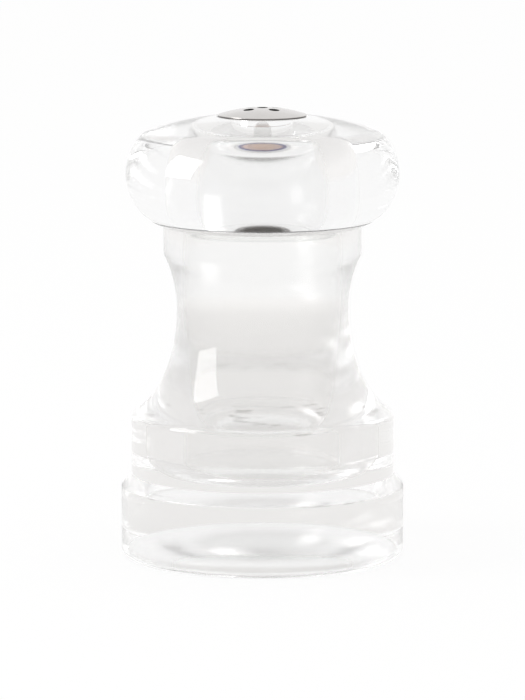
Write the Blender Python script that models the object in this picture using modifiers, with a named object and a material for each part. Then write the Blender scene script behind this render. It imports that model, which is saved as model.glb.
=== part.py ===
"""Clear acrylic salt shaker with a lift-off head and a pierced steel cap. Metres, +Z up.

The waisted body stands on the floor with its axis on Z. Its salt chamber opens at the top, where the
round head plugs in with a sealed spigot. A domed cap sits in the head's crown, clipped over the flange
of a hollow stem, and a ring nut under the head's roof holds the stem.
"""
import math

import bpy

MM = 0.001

# Driving dimensions of the body
BASE_RADIUS = 31.75 * MM
BASE_SIDE = 15.8 * MM            # height of the base's upright side
BASE_FOOT_ROUND = 1.9 * MM
SHOULDER_RISE = 3.1 * MM         # slope between the base and the collar
COLLAR_RADIUS = 29.5 * MM
COLLAR_SIDE = 12.35 * MM         # height of the collar's upright side
COLLAR_ROUND = 2.0 * MM
WAIST_RADIUS = 19.25 * MM
WAIST_HEIGHT = 55.8 * MM         # from the floor to the narrowest ring
COVE_OVERREACH = 3.85 * MM       # how far the lower cove's ellipse runs on past the collar
UPPER_COVE_RADIUS = 28.4 * MM
NECK_FLARE = 3.0 * MM            # the neck is wider than the waist by this
NECK_SIDE = 6.17 * MM
LIP_RISE = 1.08 * MM             # from the neck's side up to the head's seat
EDGE_CHAMFER = 0.3 * MM
WAIST_WALL = 1.75 * MM
FLOOR_THICKNESS = 9.8 * MM
FLOOR_FILLET = 5.0 * MM
RECESS_RADIUS = 20.0 * MM
RECESS_DEPTH = 8.5 * MM          # height of the domed hollow under the base

# Driving dimensions of the head and its seal
HEAD_RADIUS = 30.58 * MM
BELLY_RISE = 11.46 * MM          # from the neck's side to the head's widest ring
CROWN_REACH = 7.9 * MM           # half width of the crown's ellipse
CROWN_RISE = 10.56 * MM          # half height of the crown's ellipse
CROWN_SWEEP = 77.8               # degrees of that ellipse before the dome begins
DOME_RADIUS = 88.7 * MM
ROOF_THICKNESS = 8.1 * MM        # from the cap's seat down to the cavity's roof
ROOF_FILLET = 1.0 * MM
SPIGOT_LENGTH = 3.0 * MM
SPIGOT_WALL = 2.4 * MM
SPIGOT_CLEARANCE = 0.6 * MM      # bridged by the seal ring
SPIGOT_CHAMFER = 0.4 * MM
SEAL_SECTION = 1.2 * MM          # diameter of the ring's round section
SEAL_DROP = 1.25 * MM            # the ring's centre below the head's foot

# Driving dimensions of the cap, its stem and nut
CAP_RADIUS = 9.9 * MM
CAP_RISE = 1.55 * MM             # height of the dome above the skirt
CAP_SKIRT = 1.15 * MM
CAP_SHEET = 0.5 * MM
CAP_CLEARANCE = 0.35 * MM        # around the skirt in its seat
SEAT_DEPTH = 1.1 * MM
HOLE_RADIUS = 1.0 * MM
HOLE_CIRCLE = 4.0 * MM           # radius of the ring of pouring holes
HOLE_COUNT = 4
HOLE_TURN = -50.0                # degrees from -Y towards +X to the first hole of the ring
STEM_RADIUS = 5.9 * MM
STEM_WALL = 0.8 * MM
STEM_TAIL = 0.2 * MM             # the stem's end below the nut
FLANGE_CROWN = 0.35 * MM         # rise of the flange's top towards the stem's mouth
NUT_WIDTH = 1.4 * MM             # from the nut's bore to its rim
NUT_HEIGHT = 1.5 * MM
NUT_CHAMFER = 0.3 * MM

FIT_GAP = 0.3 * MM               # between neighbouring pieces that seat on each other

# Fineness of the turned surfaces
TURN_STEPS = 40
HOLE_STEPS = 16
DOME_STEPS = 4
CAP_STEPS = 6
ARC_SAG = 0.03 * MM              # greatest distance between an arc and its facets
SHARP_ANGLE = math.radians(28)
WELD_DISTANCE = 0.002 * MM


def arc(centre, radii, start, end):
    """Points of an ellipse about centre, from start to end degrees, as (r, z) pairs."""
    facet = 2 * math.acos(1 - 2 * ARC_SAG / (radii[0] + radii[1]))
    steps = math.ceil(math.radians(abs(end - start)) / facet)
    points = []
    for step in range(steps + 1):
        angle = math.radians(start + (end - start) * step / steps)
        points.append((centre[0] + radii[0] * math.cos(angle), centre[1] + radii[1] * math.sin(angle)))
    return points


def round_arc(centre, radius, start, end):
    """Points of a circular arc about centre."""
    return arc(centre, (radius, radius), start, end)


def solve(function, low, high):
    """The place between low and high where a rising function passes zero, by bisection."""
    for _ in range(60):
        middle = (low + high) / 2
        if function(middle) < 0:
            low = middle
        else:
            high = middle
    return (low + high) / 2


# Places that follow from the driving dimensions
CHAMBER_RADIUS = WAIST_RADIUS - WAIST_WALL
CHAMBER_FLOOR = RECESS_DEPTH + FLOOR_THICKNESS
NECK_RADIUS = WAIST_RADIUS + NECK_FLARE
COLLAR_FOOT = BASE_SIDE + SHOULDER_RISE
COLLAR_TOP = COLLAR_FOOT + COLLAR_SIDE
COVE_REACH = COLLAR_RADIUS - WAIST_RADIUS + COVE_OVERREACH


def cove_radius(turn):
    """Radius of the lower cove when its ellipse has turned this far below the waist."""
    return WAIST_RADIUS + COVE_REACH * (1 - math.cos(turn))


def cove_turn(radius):
    """How far the lower cove's ellipse has turned when it reaches this radius."""
    return math.acos(1 - (radius - WAIST_RADIUS) / COVE_REACH)


def collar_sweep(turn):
    """Angle of the collar's rounding up to the radius that the cove has at this turn."""
    return math.acos(1 - (COLLAR_RADIUS - cove_radius(turn)) / COLLAR_ROUND)


def cove_drop(turn):
    """Half height of the ellipse that meets the collar's rounding at this turn."""
    return (WAIST_HEIGHT - COLLAR_TOP - COLLAR_ROUND * math.sin(collar_sweep(turn))) / math.sin(turn)


def slope_difference(turn):
    """Above zero where the cove at this turn is flatter than the rounding that it meets."""
    sweep = collar_sweep(turn)
    return COVE_REACH * math.sin(turn) * math.cos(sweep) - cove_drop(turn) * math.cos(turn) * math.sin(sweep)


COVE_TURN = solve(slope_difference, cove_turn(COLLAR_RADIUS - COLLAR_ROUND), cove_turn(COLLAR_RADIUS))
COVE_DROP = cove_drop(COVE_TURN)
COLLAR_SWEEP = math.degrees(collar_sweep(COVE_TURN))
UPPER_COVE_SWEEP = math.degrees(math.acos(1 - NECK_FLARE / UPPER_COVE_RADIUS))
NECK_FOOT = WAIST_HEIGHT + UPPER_COVE_RADIUS * math.sin(math.radians(UPPER_COVE_SWEEP))
NECK_TOP = NECK_FOOT + NECK_SIDE
BODY_TOP = NECK_TOP + LIP_RISE

# The belly's arc starts on the neck, runs up the body's lip and goes on over the parting into the head
BELLY_DEPTH = HEAD_RADIUS - NECK_RADIUS
BELLY_RADIUS = (BELLY_DEPTH ** 2 + BELLY_RISE ** 2) / (2 * BELLY_DEPTH)
BELLY_AXIS = HEAD_RADIUS - BELLY_RADIUS
BELLY_TOP = NECK_TOP + BELLY_RISE


def belly_angle(height):
    """Degrees from the widest ring down to this height on the belly's arc."""
    return math.degrees(math.asin((height - BELLY_TOP) / BELLY_RADIUS))


# Heights inside the head are measured from its foot
HEAD_FOOT = BODY_TOP + FIT_GAP
WIDEST_HEIGHT = BELLY_TOP - HEAD_FOOT
SEAT_RADIUS = CAP_RADIUS + CAP_CLEARANCE
CROWN_CENTRE = (HEAD_RADIUS - CROWN_REACH, WIDEST_HEIGHT)
DOME_EDGE = (CROWN_CENTRE[0] + CROWN_REACH * math.cos(math.radians(CROWN_SWEEP)),
             CROWN_CENTRE[1] + CROWN_RISE * math.sin(math.radians(CROWN_SWEEP)))
SPIGOT_RADIUS = CHAMBER_RADIUS - SPIGOT_CLEARANCE
CAVITY_RADIUS = SPIGOT_RADIUS - SPIGOT_WALL
SEAL_RADIUS = CHAMBER_RADIUS - FIT_GAP - SEAL_SECTION / 2
GROOVE_RADIUS = SEAL_RADIUS - SEAL_SECTION / 2 - FIT_GAP
GROOVE_HALF = SEAL_SECTION / 2 + FIT_GAP
STEM_HOLE = STEM_RADIUS + FIT_GAP


def dome_height(radius):
    """Height of the head's shallow dome above its foot at this radius."""
    return DOME_EDGE[1] + (DOME_EDGE[0] ** 2 - radius ** 2) / (2 * DOME_RADIUS)


SEAT_HEIGHT = dome_height(SEAT_RADIUS) - SEAT_DEPTH
ROOF_HEIGHT = SEAT_HEIGHT - ROOF_THICKNESS
CAP_FOOT = HEAD_FOOT + SEAT_HEIGHT + FIT_GAP
NUT_FOOT = HEAD_FOOT + ROOF_HEIGHT - FIT_GAP - NUT_HEIGHT
STEM_LENGTH = CAP_FOOT - NUT_FOOT + STEM_TAIL
CAP_DOME_RADIUS = (CAP_RADIUS ** 2 + CAP_RISE ** 2) / (2 * CAP_RISE)
CAP_DOME_CENTRE = CAP_SKIRT + CAP_RISE - CAP_DOME_RADIUS
FLANGE_RADIUS = CAP_RADIUS - CAP_SHEET - FIT_GAP


def cap_surface(radius, depth):
    """Height above the cap's foot of the dome's outside (depth 0) or of a face that deep inside it."""
    return CAP_DOME_CENTRE + math.sqrt((CAP_DOME_RADIUS - depth) ** 2 - radius ** 2)


def body_profile():
    """Half section of the body: up the chamber's inside, over the rim, down the outside, up the recess."""
    points = [(0.0, CHAMBER_FLOOR)]
    points += round_arc((CHAMBER_RADIUS - FLOOR_FILLET, CHAMBER_FLOOR + FLOOR_FILLET),
                        FLOOR_FILLET, -90, 0)
    points.append((CHAMBER_RADIUS, BODY_TOP - EDGE_CHAMFER))
    points.append((CHAMBER_RADIUS + EDGE_CHAMFER, BODY_TOP))
    points += round_arc((BELLY_AXIS, BELLY_TOP), BELLY_RADIUS,
                        belly_angle(BODY_TOP), belly_angle(NECK_TOP))
    points += round_arc((WAIST_RADIUS + UPPER_COVE_RADIUS, WAIST_HEIGHT),
                        UPPER_COVE_RADIUS, 180 - UPPER_COVE_SWEEP, 180)
    points += arc((WAIST_RADIUS + COVE_REACH, WAIST_HEIGHT), (COVE_REACH, COVE_DROP),
                  180, 180 + math.degrees(COVE_TURN))[1:]
    points += round_arc((COLLAR_RADIUS - COLLAR_ROUND, COLLAR_TOP), COLLAR_ROUND, COLLAR_SWEEP, 0)[1:]
    points.append((COLLAR_RADIUS, COLLAR_FOOT))
    points.append((BASE_RADIUS - EDGE_CHAMFER, BASE_SIDE + EDGE_CHAMFER))
    points.append((BASE_RADIUS, BASE_SIDE - EDGE_CHAMFER))
    points += round_arc((BASE_RADIUS - BASE_FOOT_ROUND, BASE_FOOT_ROUND), BASE_FOOT_ROUND, 0, -90)
    points += arc((0.0, 0.0), (RECESS_RADIUS, RECESS_DEPTH), 0, 90)
    return points


def head_profile():
    """Half section of the head as a closed loop: down its outside, down the spigot, up the cavity."""
    points = [(STEM_HOLE, SEAT_HEIGHT), (SEAT_RADIUS, SEAT_HEIGHT)]
    for step in range(DOME_STEPS):
        radius = SEAT_RADIUS + (DOME_EDGE[0] - SEAT_RADIUS) * step / DOME_STEPS
        points.append((radius, dome_height(radius)))
    points += arc(CROWN_CENTRE, (CROWN_REACH, CROWN_RISE), CROWN_SWEEP, 0)
    points += round_arc((BELLY_AXIS, WIDEST_HEIGHT), BELLY_RADIUS, 0, belly_angle(HEAD_FOOT))[1:]
    points.append((SPIGOT_RADIUS, 0.0))
    points.append((SPIGOT_RADIUS, GROOVE_HALF - SEAL_DROP))
    points.append((GROOVE_RADIUS, GROOVE_HALF - SEAL_DROP))
    points.append((GROOVE_RADIUS, -GROOVE_HALF - SEAL_DROP))
    points.append((SPIGOT_RADIUS, -GROOVE_HALF - SEAL_DROP))
    points.append((SPIGOT_RADIUS, SPIGOT_CHAMFER - SPIGOT_LENGTH))
    points.append((SPIGOT_RADIUS - SPIGOT_CHAMFER, -SPIGOT_LENGTH))
    points.append((CAVITY_RADIUS, -SPIGOT_LENGTH))
    points += round_arc((CAVITY_RADIUS - ROOF_FILLET, ROOF_HEIGHT - ROOF_FILLET), ROOF_FILLET, 0, 90)
    points.append((STEM_HOLE, ROOF_HEIGHT))
    return points


def seal_profile():
    """Round section of the seal ring, about the ring's own centre height."""
    section = round_arc((SEAL_RADIUS, 0.0), SEAL_SECTION / 2, 90, -270)
    return section[:-1]


def cap_profile():
    """Half section of the cap: down the dome and skirt outside, back up inside."""
    inner_radius = CAP_RADIUS - CAP_SHEET
    outside = []
    inside = []
    for step in range(CAP_STEPS + 1):
        radius = CAP_RADIUS * step / CAP_STEPS
        outside.append((radius, cap_surface(radius, 0.0)))
        radius = inner_radius * (CAP_STEPS - step) / CAP_STEPS
        inside.append((radius, cap_surface(radius, CAP_SHEET)))
    return outside + [(CAP_RADIUS, 0.0), (inner_radius, 0.0)] + inside


def stem_profile():
    """Half section of the flanged stem as a closed loop, from its flange's underside at height 0."""
    flange_edge = cap_surface(FLANGE_RADIUS, CAP_SHEET) - FIT_GAP
    bore = STEM_RADIUS - STEM_WALL
    return [(bore, flange_edge + FLANGE_CROWN), (FLANGE_RADIUS, flange_edge), (FLANGE_RADIUS, 0.0),
            (STEM_RADIUS, 0.0), (STEM_RADIUS, -STEM_LENGTH), (bore, -STEM_LENGTH)]


def nut_profile():
    """Half section of the ring nut as a closed loop, from its underside at height 0."""
    rim = STEM_HOLE + NUT_WIDTH
    return [(STEM_HOLE, NUT_HEIGHT), (rim, NUT_HEIGHT), (rim, NUT_CHAMFER), (rim - NUT_CHAMFER, 0.0),
            (STEM_HOLE, 0.0)]


def make_collection(name):
    """A new collection linked to the scene."""
    collection = bpy.data.collections.new(name)
    bpy.context.scene.collection.children.link(collection)
    return collection


def make_material(name, colour, roughness, metallic=0.0, transmission=0.0, ior=1.45):
    """A Principled material."""
    material = bpy.data.materials.new(name)
    material.use_nodes = True
    shader = material.node_tree.nodes["Principled BSDF"]
    shader.inputs["Base Color"].default_value = (*colour, 1.0)
    shader.inputs["Roughness"].default_value = roughness
    shader.inputs["Metallic"].default_value = metallic
    shader.inputs["Transmission Weight"].default_value = transmission
    shader.inputs["IOR"].default_value = ior
    return material


def turned(name, profile, closed, height, material, collection):
    """A piece turned about Z by a Screw modifier, with its profile's zero at this height."""
    edges = [(index, index + 1) for index in range(len(profile) - 1)]
    if closed:
        edges.append((len(profile) - 1, 0))
    outline = bpy.data.meshes.new(name + "_profile")
    outline.from_pydata([(radius, 0.0, level) for radius, level in profile], edges, [])
    piece = bpy.data.objects.new(name, outline)
    collection.objects.link(piece)
    screw = piece.modifiers.new("Turn", "SCREW")
    screw.steps = TURN_STEPS
    screw.render_steps = TURN_STEPS
    screw.use_merge_vertices = True
    screw.merge_threshold = WELD_DISTANCE
    bpy.context.view_layer.update()
    solid = bpy.data.meshes.new_from_object(piece.evaluated_get(bpy.context.evaluated_depsgraph_get()))
    solid.name = name
    solid.shade_smooth()
    solid.set_sharp_from_angle(angle=SHARP_ANGLE)
    solid.materials.append(material)
    piece.modifiers.remove(screw)
    piece.data = solid
    bpy.data.meshes.remove(outline)
    piece.location.z = height
    return piece


def pierce(cap, collection):
    """Cut the cap's pouring holes: one in the centre and a ring around it."""
    places = [(0.0, 0.0)]
    for index in range(HOLE_COUNT):
        angle = math.radians(HOLE_TURN + index * 360 / HOLE_COUNT)
        places.append((HOLE_CIRCLE * math.sin(angle), -HOLE_CIRCLE * math.cos(angle)))
    depth = 2 * (CAP_SKIRT + CAP_RISE)
    for index, (across, along) in enumerate(places):
        bpy.ops.mesh.primitive_cylinder_add(vertices=HOLE_STEPS, radius=HOLE_RADIUS, depth=depth,
                                            location=(across, along, CAP_FOOT + CAP_SKIRT))
        drill = bpy.context.object
        drill.name = "hole_drill_%d" % index
        drill.hide_render = True
        drill.display_type = "WIRE"
        for owner in list(drill.users_collection):
            owner.objects.unlink(drill)
        collection.objects.link(drill)
        cut = cap.modifiers.new("Hole %d" % index, "BOOLEAN")
        cut.operation = "DIFFERENCE"
        cut.solver = "EXACT"
        cut.object = drill


def main():
    for item in list(bpy.data.objects):
        bpy.data.objects.remove(item, do_unlink=True)
    parts = make_collection("salt_shaker")
    cutters = make_collection("cutters")

    body_acrylic = make_material("body_acrylic", (0.95, 0.95, 0.94), 0.03, transmission=1.0, ior=1.49)
    head_acrylic = make_material("head_acrylic", (0.96, 0.96, 0.95), 0.03, transmission=1.0, ior=1.49)
    silicone = make_material("clear_silicone", (0.86, 0.87, 0.86), 0.25, transmission=0.8, ior=1.41)
    steel = make_material("polished_steel", (0.72, 0.70, 0.68), 0.15, metallic=1.0)
    stem_brass = make_material("stem_brass", (0.66, 0.50, 0.40), 0.35, metallic=1.0)
    nut_brass = make_material("nut_brass", (0.30, 0.25, 0.21), 0.45, metallic=1.0)

    turned("body", body_profile(), False, 0.0, body_acrylic, parts)
    turned("head", head_profile(), True, HEAD_FOOT, head_acrylic, parts)
    turned("head_seal_ring", seal_profile(), True, HEAD_FOOT - SEAL_DROP, silicone, parts)
    cap = turned("shaker_cap", cap_profile(), False, CAP_FOOT, steel, parts)
    pierce(cap, cutters)
    turned("cap_stem", stem_profile(), True, CAP_FOOT, stem_brass, parts)
    turned("stem_nut", nut_profile(), True, NUT_FOOT, nut_brass, parts)


main()
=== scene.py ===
"""Looks of a clear acrylic salt shaker with a pierced steel cap, under soft studio light.

Every piece is a surface of revolution worked out with numpy from the shaker's sizes in millimetres.
"""

import math

import bpy
import numpy as np
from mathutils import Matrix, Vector


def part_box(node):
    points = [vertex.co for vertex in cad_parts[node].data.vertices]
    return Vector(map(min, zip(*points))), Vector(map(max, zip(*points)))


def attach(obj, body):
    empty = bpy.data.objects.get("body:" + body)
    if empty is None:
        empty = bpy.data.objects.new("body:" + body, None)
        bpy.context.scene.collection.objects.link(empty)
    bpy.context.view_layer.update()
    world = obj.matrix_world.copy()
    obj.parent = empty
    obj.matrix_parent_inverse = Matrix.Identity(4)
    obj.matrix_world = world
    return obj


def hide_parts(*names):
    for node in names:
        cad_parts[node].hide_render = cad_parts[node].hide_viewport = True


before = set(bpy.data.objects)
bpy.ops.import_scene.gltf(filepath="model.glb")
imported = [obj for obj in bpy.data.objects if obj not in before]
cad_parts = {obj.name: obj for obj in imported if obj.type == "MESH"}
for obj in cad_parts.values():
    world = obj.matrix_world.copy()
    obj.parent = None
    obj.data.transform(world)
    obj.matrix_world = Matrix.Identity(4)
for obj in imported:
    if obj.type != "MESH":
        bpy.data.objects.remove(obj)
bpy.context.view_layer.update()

MM = 0.001

# Sizes read from the frame, in millimetres
BASE_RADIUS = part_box("body")[1].x / MM
BODY_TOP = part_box("body")[1].z / MM
HEAD_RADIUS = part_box("head")[1].x / MM
SPIGOT_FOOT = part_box("head")[0].z / MM
CAP_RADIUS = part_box("shaker_cap")[1].x / MM
CAP_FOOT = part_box("shaker_cap")[0].z / MM
CAP_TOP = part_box("shaker_cap")[1].z / MM
FLANGE_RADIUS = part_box("cap_stem")[1].x / MM
STEM_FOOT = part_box("cap_stem")[0].z / MM
FLANGE_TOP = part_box("cap_stem")[1].z / MM
NUT_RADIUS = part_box("stem_nut")[1].x / MM
NUT_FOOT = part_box("stem_nut")[0].z / MM
NUT_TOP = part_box("stem_nut")[1].z / MM
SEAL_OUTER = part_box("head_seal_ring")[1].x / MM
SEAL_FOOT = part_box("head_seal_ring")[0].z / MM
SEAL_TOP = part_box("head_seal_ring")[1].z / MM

# The body's own sizes, in millimetres
BASE_SIDE = 15.8
BASE_FOOT_ROUND = 1.9
BASE_EDGE_ROUND = 0.7
SHOULDER_SWEEP = 54.0            # degrees of rounding from the base's shoulder to its side
COLLAR_FOOT = 18.9
COLLAR_RADIUS = 29.5
COLLAR_TOP = 31.25
COLLAR_ROUND = 2.0
WAIST_RADIUS = 19.25
WAIST_HEIGHT = 55.8
COVE_REACH = 14.1
COVE_DROP = 24.3
COVE_TURN = 70.13                # degrees of the lower cove's ellipse, down to the collar's rounding
UPPER_COVE_RADIUS = 28.4
NECK_RADIUS = 22.25
NECK_SIDE = 6.17
CHAMBER_RADIUS = 17.5
CHAMBER_FLOOR = 18.3
FLOOR_FILLET = 5.0
RECESS_RADIUS = 20.0
RECESS_DEPTH = 8.5
FINE_EDGE = 0.12                 # bevel left on fine corners
RIM_EDGE = 0.3                   # rounding of the chamber's and the recess's rims

# The head's own sizes, in millimetres
PARTING_GAP = 0.12               # the hairline between the head and the body's lip
WIDEST_HEIGHT = 86.13
BELLY_RADIUS = 12.05
CROWN_REACH = 7.9
CROWN_RISE = 10.56
CROWN_SWEEP = 77.8               # degrees of the crown's ellipse, up to the dome
DOME_RADIUS = 88.7
SEAT_RADIUS = 10.25
PIECE_GAP = 0.3                  # between the head and the cap above it or the nut below its roof
SEAT_HEIGHT = CAP_FOOT - PIECE_GAP
ROOF_HEIGHT = NUT_TOP + PIECE_GAP
ROOF_FILLET = 1.0
STEM_HOLE = 6.2
SPIGOT_RADIUS = 16.9
CAVITY_RADIUS = 14.5
SPIGOT_CHAMFER = 0.4
GROOVE_RADIUS = 15.7
GROOVE_GAP = 0.3

# The cap, stem and nut, in millimetres
CAP_RISE = 1.55
CAP_BALL = (CAP_RADIUS ** 2 + CAP_RISE ** 2) / (2 * CAP_RISE)     # radius of the cap's dome
CAP_SHEET = 0.5
CAP_EDGE_ROUND = 0.18
CAP_EDGE_SWEEP = 75.0            # degrees of rounding from the dome to the skirt
HOLE_RADIUS = 1.0
HOLE_FLARE = 0.16
HOLE_CIRCLE = 4.0
HOLE_COUNT = 4
HOLE_TURN = -50.0                # degrees
STEM_RADIUS = 5.9
STEM_BORE = 5.1
FLANGE_CROWN = 0.35
NUT_EDGE = 0.3

# Fineness of the turned surfaces
AROUND = 360
HEAD_AROUND = 576                # the head's edge bends light the most
CAP_AROUND = 192
DRILL_AROUND = 48
DOME_POINTS = 24
CAP_POINTS = 60
CAP_INSIDE_POINTS = 50
ARC_STEP = 1.5                   # degrees between the profile points of a wide arc, at most
ARC_SLACK = 0.001                # millimetres a chord may leave a small arc
LEAST_ARC_POINTS = 3
SAME_POINT = 1e-5                # millimetres between points that count as one
SHARP_ANGLE = math.radians(30)


def arc(centre, radii, start, end):
    """Ellipse arc: centre plus (radius_r cos a, radius_z sin a) for evenly spaced angles a."""
    step = max(ARC_STEP, math.degrees(2 * math.acos(1 - ARC_SLACK / max(radii))))
    count = max(LEAST_ARC_POINTS, int(abs(end - start) / step) + 2)
    angle = np.radians(np.linspace(start, end, count))
    return np.column_stack([centre[0] + radii[0] * np.cos(angle), centre[1] + radii[1] * np.sin(angle)])


def round_arc(centre, radius, start, end):
    """Circular arc of a profile."""
    return arc(centre, (radius, radius), start, end)


def joined(*runs):
    """Profile runs laid end to end, with repeated points dropped. A straight run is just its points."""
    points = np.vstack([np.array(run, float) for run in runs])
    step = np.hypot(*np.diff(points, axis=0).T)
    return points[np.concatenate([[True], step > SAME_POINT])]


def fill_mesh(name, points, faces):
    """Mesh object from an array of points in millimetres and arrays of faces, put in with foreach_set."""
    mesh = bpy.data.meshes.new(name)
    loops = np.concatenate([face.ravel() for face in faces])
    sizes = np.concatenate([np.full(len(face), face.shape[1]) for face in faces])
    mesh.vertices.add(len(points))
    mesh.vertices.foreach_set("co", (points * MM).astype(np.float32).ravel())
    mesh.loops.add(len(loops))
    mesh.loops.foreach_set("vertex_index", loops.astype(np.int32))
    mesh.polygons.add(len(sizes))
    mesh.polygons.foreach_set("loop_start", (np.cumsum(sizes) - sizes).astype(np.int32))
    mesh.update(calc_edges=True)
    mesh.validate()
    mesh.shade_smooth()
    mesh.set_sharp_from_angle(angle=SHARP_ANGLE)
    piece = bpy.data.objects.new(name, mesh)
    bpy.context.scene.collection.objects.link(piece)
    return piece


def turned(name, profile, around=AROUND):
    """Surface of revolution: point (u, v) is (r(u) cos v, r(u) sin v, z(u)), with r, z from the profile.

    The profile runs down its outer side. One that starts and ends on the axis gets a pole at each end,
    and any other is a loop that closes on itself.
    """
    has_poles = profile[0, 0] < SAME_POINT
    rings = profile[1:-1] if has_poles else profile
    turn = np.linspace(0.0, 2 * math.pi, around, endpoint=False)
    radius = rings[:, 0][:, None]
    height = np.repeat(rings[:, 1][:, None], around, axis=1)
    points = np.stack([radius * np.cos(turn), radius * np.sin(turn), height], axis=2).reshape(-1, 3)
    index = np.arange(len(rings) * around).reshape(len(rings), around)
    upper = index[:-1] if has_poles else index
    lower = index[1:] if has_poles else np.roll(index, -1, axis=0)
    quads = np.stack([upper, lower, np.roll(lower, -1, axis=1), np.roll(upper, -1, axis=1)], axis=2)
    faces = [quads.reshape(-1, 4)]
    if has_poles:
        first_pole = len(points)
        points = np.vstack([points, [0.0, 0.0, profile[0, 1]], [0.0, 0.0, profile[-1, 1]]])
        first, last = index[0], index[-1]
        faces.append(np.column_stack([np.full(around, first_pole), first, np.roll(first, -1)]))
        faces.append(np.column_stack([np.full(around, first_pole + 1), np.roll(last, -1), last]))
    return fill_mesh(name, points, faces)


# Angles and places that follow from the sizes above
COLLAR_SWEEP = math.degrees(math.atan2(COVE_REACH * math.sin(math.radians(COVE_TURN)),
                                       COVE_DROP * math.cos(math.radians(COVE_TURN))))
UPPER_SWEEP = math.degrees(math.acos(1 - (NECK_RADIUS - WAIST_RADIUS) / UPPER_COVE_RADIUS))
NECK_TOP = WAIST_HEIGHT + UPPER_COVE_RADIUS * math.sin(math.radians(UPPER_SWEEP)) + NECK_SIDE
BELLY_AXIS = HEAD_RADIUS - BELLY_RADIUS
HEAD_FOOT = BODY_TOP + PARTING_GAP
DOME_EDGE = (HEAD_RADIUS - CROWN_REACH + CROWN_REACH * math.cos(math.radians(CROWN_SWEEP)),
             WIDEST_HEIGHT + CROWN_RISE * math.sin(math.radians(CROWN_SWEEP)))


def belly_angle(height):
    """Angle of this height on the belly's arc in degrees: zero at the widest ring, negative below it."""
    return math.degrees(math.asin((height - WIDEST_HEIGHT) / BELLY_RADIUS))


def belly_radius(height):
    """Radius of the belly's arc at this height."""
    return BELLY_AXIS + BELLY_RADIUS * math.cos(math.radians(belly_angle(height)))


def dome_height(radius):
    """Height of the head's shallow dome: a parabola falling from the axis."""
    return DOME_EDGE[1] + (DOME_EDGE[0] ** 2 - np.square(radius)) / (2 * DOME_RADIUS)


def body_profile():
    """Half section of the body: chamber floor, wall, lip, coves, collar, base, foot and recess."""
    belly = (BELLY_AXIS, WIDEST_HEIGHT)
    return joined(
        [(0.0, CHAMBER_FLOOR)],
        round_arc((CHAMBER_RADIUS - FLOOR_FILLET, CHAMBER_FLOOR + FLOOR_FILLET), FLOOR_FILLET, -90, 0),
        round_arc((CHAMBER_RADIUS + RIM_EDGE, BODY_TOP - RIM_EDGE), RIM_EDGE, 180, 90),
        [(belly_radius(BODY_TOP) - FINE_EDGE, BODY_TOP)],
        round_arc(belly, BELLY_RADIUS, belly_angle(BODY_TOP - FINE_EDGE), belly_angle(NECK_TOP)),
        [(NECK_RADIUS, NECK_TOP), (NECK_RADIUS, NECK_TOP - NECK_SIDE)],
        round_arc((WAIST_RADIUS + UPPER_COVE_RADIUS, WAIST_HEIGHT), UPPER_COVE_RADIUS,
                  180 - UPPER_SWEEP, 180),
        arc((WAIST_RADIUS + COVE_REACH, WAIST_HEIGHT), (COVE_REACH, COVE_DROP), 180, 180 + COVE_TURN),
        round_arc((COLLAR_RADIUS - COLLAR_ROUND, COLLAR_TOP), COLLAR_ROUND, COLLAR_SWEEP, 0),
        [(COLLAR_RADIUS, COLLAR_FOOT)],
        round_arc((BASE_RADIUS - BASE_EDGE_ROUND, BASE_SIDE), BASE_EDGE_ROUND, SHOULDER_SWEEP, 0),
        round_arc((BASE_RADIUS - BASE_FOOT_ROUND, BASE_FOOT_ROUND), BASE_FOOT_ROUND, 0, -90),
        round_arc((RECESS_RADIUS + RIM_EDGE, RIM_EDGE), RIM_EDGE, -90, -180),
        arc((0.0, RIM_EDGE), (RECESS_RADIUS, RECESS_DEPTH - RIM_EDGE), 0, 90))


def head_profile():
    """Half section of the head, a closed loop: seat, dome, crown, belly, spigot, cavity and stem hole."""
    dome_run = np.linspace(SEAT_RADIUS + FINE_EDGE, DOME_EDGE[0], DOME_POINTS)
    groove_top = SEAL_TOP + GROOVE_GAP
    groove_foot = SEAL_FOOT - GROOVE_GAP
    belly = (BELLY_AXIS, WIDEST_HEIGHT)
    return joined(
        [(STEM_HOLE + FINE_EDGE, SEAT_HEIGHT), (SEAT_RADIUS, SEAT_HEIGHT)],
        [(SEAT_RADIUS, dome_height(SEAT_RADIUS) - FINE_EDGE)],
        np.column_stack([dome_run, dome_height(dome_run)]),
        arc((HEAD_RADIUS - CROWN_REACH, WIDEST_HEIGHT), (CROWN_REACH, CROWN_RISE), CROWN_SWEEP, 0),
        round_arc(belly, BELLY_RADIUS, 0, belly_angle(HEAD_FOOT + FINE_EDGE)),
        [(belly_radius(HEAD_FOOT) - FINE_EDGE, HEAD_FOOT), (SPIGOT_RADIUS, HEAD_FOOT)],
        [(SPIGOT_RADIUS, groove_top), (GROOVE_RADIUS, groove_top)],
        [(GROOVE_RADIUS, groove_foot), (SPIGOT_RADIUS, groove_foot)],
        [(SPIGOT_RADIUS, SPIGOT_FOOT + SPIGOT_CHAMFER), (SPIGOT_RADIUS - SPIGOT_CHAMFER, SPIGOT_FOOT)],
        [(CAVITY_RADIUS + FINE_EDGE, SPIGOT_FOOT), (CAVITY_RADIUS, SPIGOT_FOOT + FINE_EDGE)],
        round_arc((CAVITY_RADIUS - ROOF_FILLET, ROOF_HEIGHT - ROOF_FILLET), ROOF_FILLET, 0, 90),
        [(STEM_HOLE + FINE_EDGE, ROOF_HEIGHT), (STEM_HOLE, ROOF_HEIGHT + FINE_EDGE)],
        [(STEM_HOLE, SEAT_HEIGHT - FINE_EDGE)])


def seal_profile():
    """Round section of the seal ring."""
    half = (SEAL_TOP - SEAL_FOOT) / 2
    return round_arc((SEAL_OUTER - half, SEAL_FOOT + half), half, 90, -270)[:-1]


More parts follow.
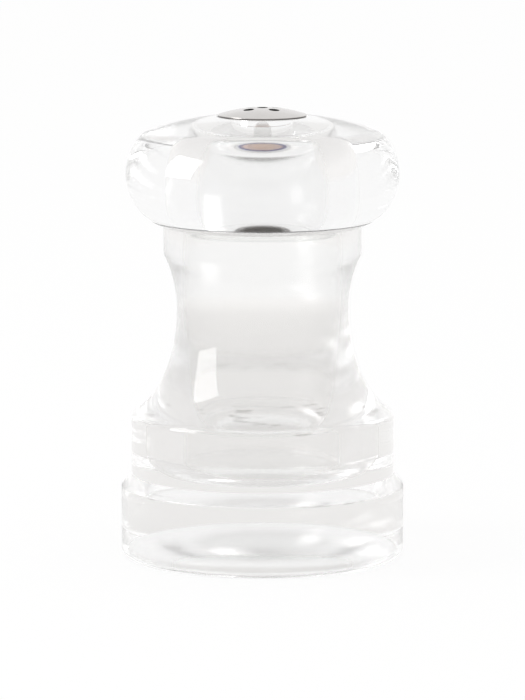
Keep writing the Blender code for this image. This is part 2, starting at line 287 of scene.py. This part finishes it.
def cap_profile():
    """Half section of the cap: a shallow spherical dome with a rounded rim, a skirt and its inside."""
    centre = CAP_TOP - CAP_BALL
    run = np.linspace(0.0, CAP_RADIUS - CAP_EDGE_ROUND, CAP_POINTS)
    dome = np.column_stack([run, centre + np.sqrt(CAP_BALL ** 2 - run ** 2)])
    inside_run = np.linspace(CAP_RADIUS - CAP_SHEET, 0.0, CAP_INSIDE_POINTS)
    inside = np.column_stack([inside_run, centre + np.sqrt((CAP_BALL - CAP_SHEET) ** 2 - inside_run ** 2)])
    edge = (CAP_RADIUS - CAP_EDGE_ROUND, dome[-1, 1] - CAP_EDGE_ROUND)
    return joined(
        dome,
        round_arc(edge, CAP_EDGE_ROUND, CAP_EDGE_SWEEP, 0),
        [(CAP_RADIUS, CAP_FOOT), (CAP_RADIUS - CAP_SHEET, CAP_FOOT)],
        inside)


def stem_profile():
    """Half section of the flanged stem, a closed loop."""
    return joined(
        [(STEM_BORE, FLANGE_TOP), (FLANGE_RADIUS, FLANGE_TOP - FLANGE_CROWN)],
        [(FLANGE_RADIUS, CAP_FOOT), (STEM_RADIUS, CAP_FOOT)],
        [(STEM_RADIUS, STEM_FOOT + FINE_EDGE), (STEM_RADIUS - FINE_EDGE, STEM_FOOT)],
        [(STEM_BORE + FINE_EDGE, STEM_FOOT), (STEM_BORE, STEM_FOOT + FINE_EDGE)],
        [(STEM_BORE, FLANGE_TOP - FINE_EDGE)])


def nut_profile():
    """Half section of the ring nut, a closed loop with a chamfered lower rim."""
    return joined(
        [(STEM_HOLE, NUT_TOP), (NUT_RADIUS - FINE_EDGE, NUT_TOP)],
        [(NUT_RADIUS, NUT_TOP - FINE_EDGE), (NUT_RADIUS, NUT_FOOT + NUT_EDGE)],
        [(NUT_RADIUS - NUT_EDGE, NUT_FOOT), (STEM_HOLE + FINE_EDGE, NUT_FOOT)],
        [(STEM_HOLE, NUT_FOOT + FINE_EDGE), (STEM_HOLE, NUT_TOP - FINE_EDGE)])


def drill_profile(surface):
    """Half section of a hole drill whose radius flares where it meets the dome at this height."""
    depth = 2 * CAP_SHEET
    return joined(
        [(0.0, surface + depth), (HOLE_RADIUS + HOLE_FLARE + depth, surface + depth)],
        arc((HOLE_RADIUS + HOLE_FLARE + depth, surface - HOLE_FLARE), (HOLE_FLARE + depth, depth), 90, 180),
        [(HOLE_RADIUS, surface - 2 * depth), (0.0, surface - 2 * depth)])


def pierce(cap):
    """Cut the cap's pouring holes, one in the centre and a ring around it, and keep the cut mesh."""
    angle = np.radians(HOLE_TURN + np.arange(HOLE_COUNT) * 360 / HOLE_COUNT)
    places = np.column_stack([HOLE_CIRCLE * np.sin(angle), -HOLE_CIRCLE * np.cos(angle)])
    drills = []
    for across, along in np.vstack([[0.0, 0.0], places]):
        fall = CAP_BALL - math.sqrt(CAP_BALL ** 2 - across ** 2 - along ** 2)
        drill = turned("drill", drill_profile(CAP_TOP - fall), DRILL_AROUND)
        drill.data.transform(((1, 0, 0, across * MM), (0, 1, 0, along * MM), (0, 0, 1, 0), (0, 0, 0, 1)))
        cut = cap.modifiers.new("Hole", "BOOLEAN")
        cut.operation = "DIFFERENCE"
        cut.solver = "EXACT"
        cut.object = drill
        drills.append(drill)
    bpy.context.view_layer.update()
    whole = cap.evaluated_get(bpy.context.evaluated_depsgraph_get())
    pierced = bpy.data.meshes.new_from_object(whole)
    pierced.shade_smooth()
    pierced.set_sharp_from_angle(angle=SHARP_ANGLE)
    cap.modifiers.clear()
    cap.data = pierced
    for drill in drills:
        bpy.data.objects.remove(drill, do_unlink=True)


# Grain of the surfaces, in noise cells per metre
HAZE_GRAIN = 60.0
WAVE_GRAIN = 28.0
HAIR_GRAIN = 420.0
HAIR_STRETCH = (1.0, 1.0, 14.0)
HAIR_TURN = (0.5, 0.3, 0.0)      # radians
HAIR_LIMIT = 0.72                # noise above this is a scratch
HAIR_SHARE = 0.4                 # roughness of a scratch, as a share of the haze
SCUFF_HEIGHT = 2.0               # millimetres above the table at which the scuffs end
LATHE_GRAIN = 900.0
SMEAR_GRAIN = 220.0
STREAK_GRAIN = 130.0
STREAK_STRETCH = (1.0, 1.0, 8.0)
STREAK_START, STREAK_FULL = 0.58, 0.68    # noise at which a streak starts and is at its darkest


def new_group(name, inputs, outputs):
    """Empty shader node group with named float inputs and outputs and a vector input for the place."""
    group = bpy.data.node_groups.new(name, "ShaderNodeTree")
    for label in inputs:
        group.interface.new_socket(label, in_out="INPUT", socket_type="NodeSocketFloat")
    group.interface.new_socket("Place", in_out="INPUT", socket_type="NodeSocketVector")
    for label in outputs:
        group.interface.new_socket(label, in_out="OUTPUT", socket_type="NodeSocketFloat")
    entry = group.nodes.new("NodeGroupInput")
    leave = group.nodes.new("NodeGroupOutput")
    return group, entry, leave


def math_node(tree, operation, first, second=None, third=None):
    """A Math node fed by sockets or plain numbers; returns its output."""
    node = tree.nodes.new("ShaderNodeMath")
    node.operation = operation
    for place, value in enumerate((first, second, third)):
        if value is None:
            continue
        if isinstance(value, (int, float)):
            node.inputs[place].default_value = value
        else:
            tree.links.new(value, node.inputs[place])
    return node.outputs[0]


def smooth_range(tree, value, start, end, low=0.0, high=1.0):
    """Level that runs smoothly from low to high as a value runs from start to end; returns its output."""
    node = tree.nodes.new("ShaderNodeMapRange")
    node.interpolation_type = "SMOOTHSTEP"
    node.inputs["From Min"].default_value = start
    node.inputs["From Max"].default_value = end
    node.inputs["To Min"].default_value = low
    node.inputs["To Max"].default_value = high
    tree.links.new(value, node.inputs["Value"])
    return node.outputs["Result"]


def split_place(group, place):
    """Outputs X, Y and Z of a place."""
    node = group.nodes.new("ShaderNodeSeparateXYZ")
    group.links.new(place, node.inputs[0])
    return node.outputs


def stretched(group, place, scale, turn=(0.0, 0.0, 0.0)):
    """A place scaled and turned before a pattern reads it; returns its output."""
    node = group.nodes.new("ShaderNodeMapping")
    node.inputs["Scale"].default_value = scale
    node.inputs["Rotation"].default_value = turn
    group.links.new(place, node.inputs["Vector"])
    return node.outputs[0]


def noise(group, place, scale, detail):
    """Noise value at a place; returns its output."""
    node = group.nodes.new("ShaderNodeTexNoise")
    node.inputs["Scale"].default_value = scale
    node.inputs["Detail"].default_value = detail
    group.links.new(place, node.inputs["Vector"])
    return node.outputs["Fac"]


def axis_distance(group, across, along):
    """Distance from the axis: the root of the two squares summed."""
    squares = math_node(group, "MULTIPLY_ADD", across, across, math_node(group, "MULTIPLY", along, along))
    return math_node(group, "SQRT", squares)


def height_band(group, entry, height):
    """Mask that is one where a height lies between the group's Low and High."""
    above = math_node(group, "GREATER_THAN", height, entry.outputs["Low"])
    below = math_node(group, "LESS_THAN", height, entry.outputs["High"])
    return math_node(group, "MULTIPLY", above, below)


def polish_group():
    """Hand polish on clear plastic: broad haze, hair scratches and scuffs low on the foot."""
    group, entry, leave = new_group("hand_polish", ["Haze", "Scuff"], ["Roughness", "Height", "Tone"])
    place = entry.outputs["Place"]
    broad = noise(group, place, HAZE_GRAIN, detail=3.0)
    waves = noise(group, place, WAVE_GRAIN, detail=1.0)
    hair = noise(group, stretched(group, place, HAIR_STRETCH, HAIR_TURN), HAIR_GRAIN, detail=2.0)
    scratches = math_node(group, "GREATER_THAN", hair, HAIR_LIMIT)
    scratch_depth = math_node(group, "MULTIPLY", entry.outputs["Haze"], HAIR_SHARE)
    hairs = math_node(group, "MULTIPLY", scratches, scratch_depth)
    haze = math_node(group, "MULTIPLY", math_node(group, "MULTIPLY", broad, broad), entry.outputs["Haze"])
    rise = math_node(group, "MULTIPLY", split_place(group, place)["Z"], 1 / (SCUFF_HEIGHT * MM))
    low = math_node(group, "MAXIMUM", math_node(group, "SUBTRACT", 1.0, rise), 0.0)
    foot = math_node(group, "MULTIPLY", low, entry.outputs["Scuff"])
    total = math_node(group, "ADD", math_node(group, "ADD", haze, hairs), foot)
    group.links.new(total, leave.inputs["Roughness"])
    group.links.new(waves, leave.inputs["Height"])
    group.links.new(broad, leave.inputs["Tone"])
    return group


def lathe_group():
    """Lathe marks: fine rings about the axis, broken up by noise, with a few darker smears."""
    group, entry, leave = new_group("lathe_marks", ["Pitch", "Base", "Spread"],
                                    ["Roughness", "Height", "Smear"])
    place = entry.outputs["Place"]
    spot = split_place(group, place)
    run = math_node(group, "ADD", axis_distance(group, spot["X"], spot["Y"]), spot["Z"])
    ripple = math_node(group, "SINE", math_node(group, "MULTIPLY", run, entry.outputs["Pitch"]))
    grain = noise(group, place, LATHE_GRAIN, detail=3.0)
    smear = noise(group, place, SMEAR_GRAIN, detail=2.0)
    uneven = math_node(group, "MULTIPLY", ripple, grain)
    rough = math_node(group, "MULTIPLY_ADD", smear, entry.outputs["Spread"], entry.outputs["Base"])
    group.links.new(rough, leave.inputs["Roughness"])
    group.links.new(uneven, leave.inputs["Height"])
    group.links.new(smear, leave.inputs["Smear"])
    return group


def zone_group():
    """Mask of a zone inside a piece: one within a radius of the axis and between two heights."""
    group, entry, leave = new_group("inner_zone", ["Radius", "Low", "High"], ["Mask"])
    spot = split_place(group, entry.outputs["Place"])
    distance = axis_distance(group, spot["X"], spot["Y"])
    inside = math_node(group, "LESS_THAN", distance, entry.outputs["Radius"])
    mask = math_node(group, "MULTIPLY", inside, height_band(group, entry, spot["Z"]))
    group.links.new(mask, leave.inputs["Mask"])
    return group


def holes_group():
    """Mask of the cap's hole walls: one within a hole's radius of any hole's axis.

    The ring of four is turned until its holes lie on X and Y, then folded on to one of them by taking the
    larger and the smaller of the two absolute coordinates.
    """
    group, entry, leave = new_group("hole_walls", ["Radius", "Circle"], ["Mask"])
    turn = group.nodes.new("ShaderNodeVectorRotate")
    turn.rotation_type = "Z_AXIS"
    turn.inputs["Angle"].default_value = -math.radians(HOLE_TURN)
    group.links.new(entry.outputs["Place"], turn.inputs["Vector"])
    spot = split_place(group, turn.outputs["Vector"])
    across = math_node(group, "ABSOLUTE", spot["X"])
    along = math_node(group, "ABSOLUTE", spot["Y"])
    farther = math_node(group, "MAXIMUM", across, along)
    outward = math_node(group, "SUBTRACT", farther, entry.outputs["Circle"])
    ring = axis_distance(group, outward, math_node(group, "MINIMUM", across, along))
    nearest = math_node(group, "MINIMUM", ring, axis_distance(group, across, along))
    group.links.new(math_node(group, "LESS_THAN", nearest, entry.outputs["Radius"]), leave.inputs["Mask"])
    return group


def shade_streak_group():
    """Mask of broken streaks of painted shade round a piece: noise drawn out sideways, between two heights.
    """
    group, entry, leave = new_group("painted_shade_streaks", ["Low", "High"], ["Mask"])
    place = entry.outputs["Place"]
    streaks = noise(group, stretched(group, place, STREAK_STRETCH), STREAK_GRAIN, detail=3.0)
    darkness = smooth_range(group, streaks, STREAK_START, STREAK_FULL)
    mask = math_node(group, "MULTIPLY", darkness, height_band(group, entry, split_place(group, place)["Z"]))
    group.links.new(mask, leave.inputs["Mask"])
    return group


POLISH = polish_group()
LATHE = lathe_group()
ZONE = zone_group()
HOLES = holes_group()
SHADE_STREAKS = shade_streak_group()


def add_group(tree, group, values):
    """Shared group fed with Object coordinates and plain values; returns its node."""
    node = tree.nodes.new("ShaderNodeGroup")
    node.node_tree = group
    for label, value in values.items():
        node.inputs[label].default_value = value
    coordinates = tree.nodes.new("ShaderNodeTexCoord")
    tree.links.new(coordinates.outputs["Object"], node.inputs["Place"])
    return node


def start_material(name, group, values):
    """Material with a Principled shader and one shared group that sets its roughness."""
    material = bpy.data.materials.new(name)
    material.use_nodes = True
    tree = material.node_tree
    shader = tree.nodes["Principled BSDF"]
    marks = add_group(tree, group, values)
    tree.links.new(marks.outputs["Roughness"], shader.inputs["Roughness"])
    return material, tree, shader, marks


def add_bump(tree, shader, height, strength, distance):
    """Bump node from a height to the shader's normal."""
    bump = tree.nodes.new("ShaderNodeBump")
    bump.inputs["Strength"].default_value = strength
    bump.inputs["Distance"].default_value = distance
    tree.links.new(height, bump.inputs["Height"])
    tree.links.new(bump.outputs["Normal"], shader.inputs["Normal"])


def mix_tones(tree, share, first, second):
    """Colour that runs from a first to a second tone with a share; returns its output.

    The first tone is a plain colour or another colour's output.
    """
    tones = tree.nodes.new("ShaderNodeMix")
    tones.data_type = "RGBA"
    if isinstance(first, tuple):
        tones.inputs["A"].default_value = (*first, 1.0)
    else:
        tree.links.new(first, tones.inputs["A"])
    tones.inputs["B"].default_value = (*second, 1.0)
    tree.links.new(share, tones.inputs["Factor"])
    return tones.outputs["Result"]


CLEAR_SPREAD = 0.012             # how far the clear pieces' tone clouds over


def clear_material(name, tone, ior, haze, scuff, wave):
    """Clear moulded plastic: full transmission, polish haze and a slight waviness in millimetres."""
    material, tree, shader, marks = start_material(name, POLISH, {"Haze": haze, "Scuff": scuff})
    clouded = tuple(value - CLEAR_SPREAD for value in tone)
    colour = mix_tones(tree, marks.outputs["Tone"], tone, clouded)
    tree.links.new(colour, shader.inputs["Base Color"])
    shader.inputs["IOR"].default_value = ior
    shader.inputs["Transmission Weight"].default_value = 1.0
    add_bump(tree, shader, marks.outputs["Height"], strength=1.0, distance=wave * MM)
    return material


def metal_material(name, light, dark, pitch, base, spread, depth):
    """Turned metal: ring marks (pitch in radians per millimetre), smears of two tones and a fine bump."""
    values = {"Pitch": pitch / MM, "Base": base, "Spread": spread}
    material, tree, shader, marks = start_material(name, LATHE, values)
    shader.inputs["Metallic"].default_value = 1.0
    colour = mix_tones(tree, marks.outputs["Smear"], light, dark)
    tree.links.new(colour, shader.inputs["Base Color"])
    add_bump(tree, shader, marks.outputs["Height"], strength=0.4, distance=depth * MM)
    return material


def add_mask(tree, group, sizes):
    """Mask of a group given its sizes in millimetres; returns its output."""
    return add_group(tree, group, {label: size * MM for label, size in sizes.items()}).outputs["Mask"]


def add_second_tone(material, group, sizes, tone):
    """Lay a second tone over a material where a group's mask is one."""
    tree = material.node_tree
    shader = tree.nodes["Principled BSDF"]
    first = shader.inputs["Base Color"].links[0].from_socket
    colour = mix_tones(tree, add_mask(tree, group, sizes), first, tone)
    tree.links.new(colour, shader.inputs["Base Color"])


def add_matt_zone(material, group, sizes, roughness):
    """Leave a part of a piece unpolished: rougher by this much where a group's mask is one."""
    tree = material.node_tree
    shader = tree.nodes["Principled BSDF"]
    polish = shader.inputs["Roughness"].links[0].from_socket
    rougher = math_node(tree, "MULTIPLY_ADD", add_mask(tree, group, sizes), roughness, polish)
    tree.links.new(rougher, shader.inputs["Roughness"])


def zone(radius, low, high):
    """Sizes of an inner zone in millimetres: its radius and its two heights."""
    return {"Radius": radius, "Low": low, "High": high}


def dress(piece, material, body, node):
    """Give a piece its material, ride it on its body and let it stand for its CAD node."""
    piece.data.materials.clear()
    piece.data.materials.append(material)
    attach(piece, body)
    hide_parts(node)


# Clear pieces
ACRYLIC_IOR = 1.491
SILICONE_IOR = 1.41
BODY_TONE = (0.988, 0.987, 0.984)
HEAD_TONE = (0.958, 0.958, 0.957)
SILICONE_TONE = (0.95, 0.95, 0.94)
body_acrylic = clear_material("body_acrylic", BODY_TONE, ACRYLIC_IOR, haze=0.012, scuff=0.05, wave=0.05)
head_acrylic = clear_material("head_acrylic", HEAD_TONE, ACRYLIC_IOR, haze=0.012, scuff=0.0, wave=0.02)
silicone = clear_material("clear_silicone", SILICONE_TONE, SILICONE_IOR, haze=0.15, scuff=0.0, wave=0.02)

# Metal pieces, each with the lighter and the darker tone of its smears
STEEL_TONES = (0.68, 0.66, 0.645), (0.58, 0.56, 0.545)
STEM_TONES = (0.95, 0.74, 0.62), (0.86, 0.64, 0.52)
NUT_TONES = (0.34, 0.33, 0.33), (0.22, 0.21, 0.21)
steel = metal_material("polished_steel", *STEEL_TONES, pitch=18.0, base=0.12, spread=0.12, depth=0.004)
stem_brass = metal_material("stem_brass", *STEM_TONES, pitch=12.0, base=0.3, spread=0.15, depth=0.01)
nut_brass = metal_material("nut_brass", *NUT_TONES, pitch=12.0, base=0.35, spread=0.15, depth=0.01)

# Margins of the zones, in millimetres
WALL_MARGIN = 0.1                # past a wall that a zone takes in
FACE_MARGIN = 0.05               # to one side of the face or wall where a zone ends
END_MARGIN = 1.0                 # well clear of a piece or a hollow
SEAM_MARGIN = 0.02               # to each side of the seam's faces

# The inside of the body and the head is left as moulded, and the hollow under the base is frosted
CHAMBER_MATT = 0.2
RECESS_MATT = 0.3
CAVITY_MATT = 0.15
SEAT_MATT = 0.3
chamber = zone(CHAMBER_RADIUS + WALL_MARGIN, CHAMBER_FLOOR - END_MARGIN, BODY_TOP)
recess = zone(RECESS_RADIUS + WALL_MARGIN, FACE_MARGIN, RECESS_DEPTH + END_MARGIN)
cavity = zone(CAVITY_RADIUS + WALL_MARGIN, 0.0, ROOF_HEIGHT - FACE_MARGIN)
seat = zone(SEAT_RADIUS + WALL_MARGIN, SEAT_HEIGHT - WALL_MARGIN, CAP_TOP)
add_matt_zone(body_acrylic, ZONE, chamber, CHAMBER_MATT)
add_matt_zone(body_acrylic, ZONE, recess, RECESS_MATT)
add_matt_zone(head_acrylic, ZONE, cavity, CAVITY_MATT)
add_matt_zone(head_acrylic, ZONE, seat, SEAT_MATT)

# The seam's two faces and the head's edge beside them are left as turned, and the edge is darkened with
# dust and with painted shade of the gap between head and body
SEAM_MATT = 0.22
EDGE_MATT = 0.5
EDGE_HEIGHT = 0.3                # millimetres above the head's foot
SEAM_DUST_AND_SHADE_TONE = (0.20, 0.20, 0.20)
SEAM_DUST_AND_SHADE_DEPTH = 0.5                 # millimetres outside the spigot at which the dust and painted shade end
head_face = zone(HEAD_RADIUS, HEAD_FOOT - SEAM_MARGIN, HEAD_FOOT + SEAM_MARGIN)
body_face = zone(HEAD_RADIUS, BODY_TOP - SEAM_MARGIN, BODY_TOP + SEAM_MARGIN)
head_edge = zone(HEAD_RADIUS, HEAD_FOOT + SEAM_MARGIN, HEAD_FOOT + EDGE_HEIGHT)
seam_dust_and_shade = zone(HEAD_RADIUS, HEAD_FOOT - FACE_MARGIN, HEAD_FOOT + EDGE_HEIGHT)
add_matt_zone(head_acrylic, ZONE, head_face, SEAM_MATT)
add_matt_zone(body_acrylic, ZONE, body_face, SEAM_MATT)
add_matt_zone(head_acrylic, ZONE, head_edge, EDGE_MATT)
# dust and painted shade darken the head's edge at the seam
add_second_tone(head_acrylic, ZONE, seam_dust_and_shade, SEAM_DUST_AND_SHADE_TONE)
add_second_tone(head_acrylic, ZONE, zone(SPIGOT_RADIUS + SEAM_DUST_AND_SHADE_DEPTH, 0.0, CAP_TOP), HEAD_TONE)

# Streaks of painted shade, standing in for dark lines seen through the acrylic, where the cove runs out
# over the collar and at the top of the base: two heights and a tone
SHADE_STREAK_BANDS = (
    (COLLAR_TOP + 2.0, COLLAR_TOP + 5.0, (0.52, 0.51, 0.50)),
    (COLLAR_TOP - 0.2, COLLAR_TOP + 1.0, (0.55, 0.54, 0.53)),
    (BASE_SIDE, BASE_SIDE + 1.2, (0.6, 0.6, 0.6)))
for band_low, band_high, streak_shade_tone in SHADE_STREAK_BANDS:
    # painted shade: darker streaks laid into the clear body
    add_second_tone(body_acrylic, SHADE_STREAKS, {"Low": band_low, "High": band_high}, streak_shade_tone)

# The cap's skirt is painted dark as the shade in the gap over its seat, and the walls of its pouring holes
# are painted black as the shade inside them, and are rough
SKIRT_SHADE_TONE = (0.16, 0.15, 0.145)
HOLE_SHADE_TONE = (0.006, 0.006, 0.006)
HOLE_MATT = 0.7
HOLE_MARGIN = 0.2                # millimetres past a hole's radius
skirt = zone(CAP_RADIUS + END_MARGIN, 0.0, CAP_TOP - CAP_RISE - WALL_MARGIN)
hole_walls = {"Radius": HOLE_RADIUS + HOLE_MARGIN, "Circle": HOLE_CIRCLE}
# painted shade on the cap's skirt and inside its pouring holes
add_second_tone(steel, ZONE, skirt, SKIRT_SHADE_TONE)
add_second_tone(steel, HOLES, hole_walls, HOLE_SHADE_TONE)
add_matt_zone(steel, HOLES, hole_walls, HOLE_MATT)

# The stem is plated above the roof, with its flange painted black as the shade under the cap seen through
# the holes, and is duller in its bore and dark at its end
STEM_ZONES = (
    (zone(FLANGE_RADIUS + END_MARGIN, ROOF_HEIGHT, CAP_TOP), (0.95, 0.95, 0.94)),
    # painted shade: the flange under the cap is black
    (zone(FLANGE_RADIUS + END_MARGIN, CAP_FOOT + FACE_MARGIN, CAP_TOP), (0.03, 0.03, 0.03)),
    (zone(STEM_RADIUS - FACE_MARGIN, NUT_FOOT, CAP_TOP), (0.50, 0.44, 0.40)),
    (zone(STEM_RADIUS + END_MARGIN, 0.0, NUT_FOOT), (0.12, 0.11, 0.10)))
for stem_zone, stem_tone in STEM_ZONES:
    add_second_tone(stem_brass, ZONE, stem_zone, stem_tone)

# Bands painted up the nut for the light seen reflected off it under the roof: a painted bright band, then a
# painted blue fringe, then copper; heights above its underside and the tones from there
NUT_LIGHT_BANDS = (0.05, (0.96, 0.96, 0.97)), (0.6, (0.05, 0.06, 0.22)), (0.95, (0.78, 0.62, 0.56))
for light_band_height, light_band_tone in NUT_LIGHT_BANDS:
    light_band_zone = zone(NUT_RADIUS + END_MARGIN, NUT_FOOT + light_band_height, NUT_TOP + END_MARGIN)
    # painted light: bright and blue bands on the nut
    add_second_tone(nut_brass, ZONE, light_band_zone, light_band_tone)

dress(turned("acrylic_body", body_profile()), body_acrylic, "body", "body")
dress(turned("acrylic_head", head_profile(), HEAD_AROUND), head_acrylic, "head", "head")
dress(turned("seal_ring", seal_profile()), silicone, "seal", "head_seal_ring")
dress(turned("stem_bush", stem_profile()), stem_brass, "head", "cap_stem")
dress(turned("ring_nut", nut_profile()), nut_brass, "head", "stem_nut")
steel_cap = turned("steel_cap", cap_profile(), CAP_AROUND)
pierce(steel_cap)
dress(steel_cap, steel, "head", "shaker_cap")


# Studio: camera, floor, a white surround and a lamp
IMAGE_HEIGHT = 700                        # pixels
FOCAL_PIXELS = 4906.0
SENSOR_HEIGHT = 24.0                      # millimetres
CAMERA_PLACE = (0.0, -1090.0, 204.3)      # millimetres
CAMERA_DIP = 8.24                         # degrees below level
FLOOR_REACH = 3.0                         # metres
FLOOR_POINTS = 9
FLOOR_DROP = 0.05                         # millimetres under the foot
FLOOR_TONE = (0.90, 0.895, 0.885)
FLOOR_WHITE = 1.0                         # level of the floor's plain white
FLOOR_SEEN_PLAINLY = 0.92                 # share of plain white in the floor seen directly
FLOOR_SEEN_THROUGH = 0.92                 # share of plain white in the floor seen through the acrylic
FLOOR_NEAR, FLOOR_FAR = 0.08, 0.70        # metres from the axis, where the floor seen through brightens out of its painted shade
FLOOR_NEAR_LEVEL, FLOOR_FAR_LEVEL = 0.84, 1.0    # levels at those two distances
SHADE_INNER, SHADE_OUTER = 0.034, 0.060   # metres from the axis, where the foot shades the floor
SHADE_LEVEL = -0.03                       # change of level at the inner distance
PLAIN_WHITE = (1.0, 1.0, 1.0)
FLOOR_WARMTH = (1.0, 0.988, 0.976)        # hue of the floor seen through the acrylic
DARK_TOWARDS = (0.0, -1.0, 0.15)          # the studio behind the camera is darker
DARK_INNER, DARK_OUTER = 8.0, 20.0        # degrees from that direction
DARK_LEVEL = 0.85
SURROUND_LIGHT = 0.95                     # the surround's strength as a light on rough surfaces
LAMP_PLACE = (-0.89, -0.23, 0.46)         # metres
LAMP_AIM = (0.0, 0.0, 0.045)              # metres
LAMP_WIDTH, LAMP_HEIGHT = 0.50, 0.62      # metres
LAMP_POWER = 4.5                          # watts
LIGHT_BOUNCES = 64                        # light caught in the clear base takes many to get out


def add_camera():
    """Camera at the photograph's viewing angle."""
    lens = bpy.data.cameras.new("camera")
    lens.sensor_fit = "VERTICAL"
    lens.sensor_height = SENSOR_HEIGHT
    lens.lens = FOCAL_PIXELS / IMAGE_HEIGHT * SENSOR_HEIGHT
    camera = bpy.data.objects.new("camera", lens)
    camera.location = Vector(CAMERA_PLACE) * MM
    camera.rotation_euler = (math.radians(90 - CAMERA_DIP), 0.0, 0.0)
    bpy.context.scene.collection.objects.link(camera)
    bpy.context.scene.camera = camera


def floor_material():
    """Floor that is white to the camera but keeps the object's shadow.

    Seen through the acrylic it is a little warmer, and painted dimmer near the foot as the shade of the
    object there.
    """
    material = bpy.data.materials.new("pale_floor")
    material.use_nodes = True
    tree = material.node_tree
    tree.nodes.clear()
    rays = tree.nodes.new("ShaderNodeLightPath").outputs
    plain = tree.nodes.new("ShaderNodeEmission")
    hue = mix_tones(tree, rays["Is Transmission Ray"], PLAIN_WHITE, FLOOR_WARMTH)
    tree.links.new(hue, plain.inputs["Color"])
    distance = tree.nodes.new("ShaderNodeVectorMath")
    distance.operation = "LENGTH"
    coordinates = tree.nodes.new("ShaderNodeTexCoord")
    tree.links.new(coordinates.outputs["Object"], distance.inputs[0])
    # painted shade: the floor seen through the acrylic is dimmer near the foot
    painted_floor_shade = smooth_range(tree, distance.outputs["Value"], FLOOR_NEAR, FLOOR_FAR,
                        FLOOR_NEAR_LEVEL - FLOOR_WHITE, FLOOR_FAR_LEVEL - FLOOR_WHITE)
    shade = smooth_range(tree, distance.outputs["Value"], SHADE_INNER, SHADE_OUTER, SHADE_LEVEL, 0.0)
    near = math_node(tree, "ADD", painted_floor_shade, shade)
    level = math_node(tree, "MULTIPLY_ADD", rays["Is Transmission Ray"], near, FLOOR_WHITE)
    tree.links.new(level, plain.inputs["Strength"])
    rough = tree.nodes.new("ShaderNodeBsdfDiffuse")
    rough.inputs["Color"].default_value = (*FLOOR_TONE, 1.0)
    # a refracted ray counts as glossy too, so it is told apart by its transmission
    through = math_node(tree, "MULTIPLY", rays["Is Transmission Ray"], FLOOR_SEEN_THROUGH - 1.0)
    shiny = math_node(tree, "ADD", rays["Is Glossy Ray"], through)
    direct = math_node(tree, "MULTIPLY", rays["Is Camera Ray"], FLOOR_SEEN_PLAINLY)
    blend = tree.nodes.new("ShaderNodeMixShader")
    tree.links.new(math_node(tree, "MAXIMUM", direct, shiny), blend.inputs[0])
    tree.links.new(rough.outputs[0], blend.inputs[1])
    tree.links.new(plain.outputs[0], blend.inputs[2])
    leave = tree.nodes.new("ShaderNodeOutputMaterial")
    tree.links.new(blend.outputs[0], leave.inputs["Surface"])
    return material


def add_floor():
    """Pale floor: a square grid of points just under the foot."""
    side = np.linspace(-FLOOR_REACH, FLOOR_REACH, FLOOR_POINTS) / MM
    across, along = np.meshgrid(side, side)
    points = np.column_stack([across.ravel(), along.ravel(), np.full(across.size, -FLOOR_DROP)])
    index = np.arange(across.size).reshape(across.shape)
    corners = [index[:-1, :-1], index[:-1, 1:], index[1:, 1:], index[1:, :-1]]
    floor = fill_mesh("floor", points, [np.stack(corners, axis=2).reshape(-1, 4)])
    floor.data.materials.append(floor_material())


def add_surround():
    """White surround with a soft darker patch behind the camera, which the acrylic reflects."""
    world = bpy.data.worlds.new("surround")
    bpy.context.scene.world = world
    world.use_nodes = True
    tree = world.node_tree
    tree.nodes.clear()
    rays = tree.nodes.new("ShaderNodeLightPath").outputs
    coordinates = tree.nodes.new("ShaderNodeTexCoord")
    facing = tree.nodes.new("ShaderNodeVectorMath")
    facing.operation = "DOT_PRODUCT"
    facing.inputs[1].default_value = Vector(DARK_TOWARDS).normalized()
    tree.links.new(coordinates.outputs["Generated"], facing.inputs[0])
    patch = smooth_range(tree, facing.outputs["Value"], math.cos(math.radians(DARK_OUTER)),
                         math.cos(math.radians(DARK_INNER)), 1.0, DARK_LEVEL)
    shiny = math_node(tree, "MAXIMUM", rays["Is Glossy Ray"], rays["Is Transmission Ray"])
    seen = math_node(tree, "MAXIMUM", shiny, rays["Is Camera Ray"])
    level = math_node(tree, "MULTIPLY_ADD", seen, 1.0 - SURROUND_LIGHT, SURROUND_LIGHT)
    kept = math_node(tree, "MAXIMUM", patch, rays["Is Transmission Ray"])
    shaded = math_node(tree, "MULTIPLY", level, kept)
    sky = tree.nodes.new("ShaderNodeBackground")
    sky.inputs["Color"].default_value = (*PLAIN_WHITE, 1.0)
    tree.links.new(math_node(tree, "MAXIMUM", shaded, rays["Is Camera Ray"]), sky.inputs["Strength"])
    leave = tree.nodes.new("ShaderNodeOutputWorld")
    tree.links.new(sky.outputs[0], leave.inputs["Surface"])


def add_softbox():
    """Rectangular area lamp at the left, facing the shaker."""
    lamp = bpy.data.lights.new("left_softbox", "AREA")
    lamp.shape = "RECTANGLE"
    lamp.size = LAMP_WIDTH
    lamp.size_y = LAMP_HEIGHT
    lamp.energy = LAMP_POWER
    box = bpy.data.objects.new("left_softbox", lamp)
    box.location = LAMP_PLACE
    box.rotation_euler = (Vector(LAMP_AIM) - Vector(LAMP_PLACE)).to_track_quat("-Z", "Y").to_euler()
    bpy.context.scene.collection.objects.link(box)


add_camera()
add_floor()
add_surround()
add_softbox()

cycles = bpy.context.scene.cycles
cycles.max_bounces = LIGHT_BOUNCES
cycles.transmission_bounces = LIGHT_BOUNCES
cycles.glossy_bounces = LIGHT_BOUNCES
bpy.context.scene.view_settings.view_transform = "Standard"
